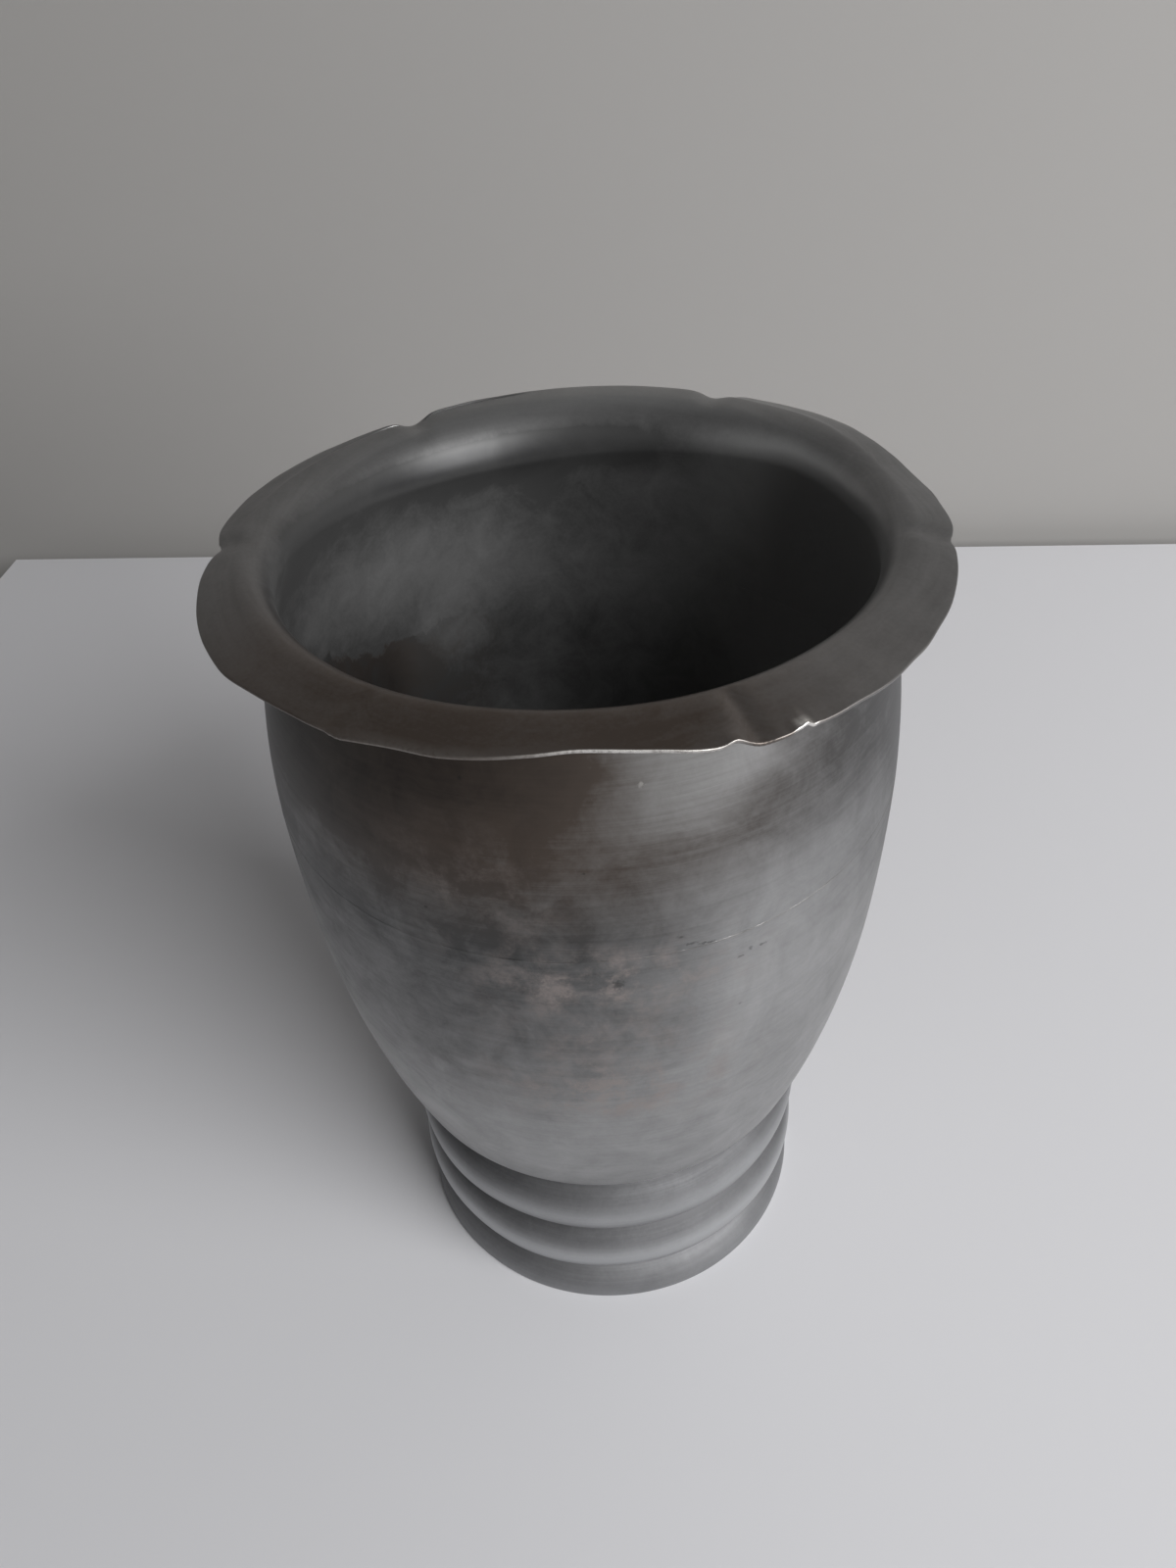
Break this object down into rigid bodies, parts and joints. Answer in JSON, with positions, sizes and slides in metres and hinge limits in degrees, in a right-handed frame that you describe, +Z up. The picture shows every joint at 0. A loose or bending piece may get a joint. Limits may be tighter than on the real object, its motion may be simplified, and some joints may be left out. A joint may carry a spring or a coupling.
{
  "type": "beaker",
  "caption": "Pewter beaker with a bulging, tapered body, a turned-out lobed and notched rim, and a hollow foot of stacked rings; stands on a flat base and holds drink or small things.",
  "frame": {"origin": "centre of the foot's underside, on the axis of the body", "axes": "+Z up along the axis of the body; +X and +Y level, with the pictured side facing -Y"},
  "size_m": [0.087, 0.0886, 0.1216],
  "materials": {
    "pewter_upper": "dark brown-grey tarnished pewter, satin, worn bright along the rim's edge",
    "pewter_lower": "mottled grey pewter with fine turning lines, satin",
    "pewter_foot": "grey turned pewter, satin, darker in the grooves",
    "solder": "dull tin solder"
  },
  "bodies": {
    "root": {"upper_body": "pewter_upper", "lower_body": "pewter_lower", "floor_disc": "pewter_lower", "foot_ring_top": "pewter_foot", "foot_ring_middle": "pewter_foot", "foot_ring_bottom": "pewter_foot", "body_seam_solder": "solder", "floor_solder": "solder", "foot_joint_solder": "solder", "ring_seam_solder": "solder"}
  },
  "joints": []
}
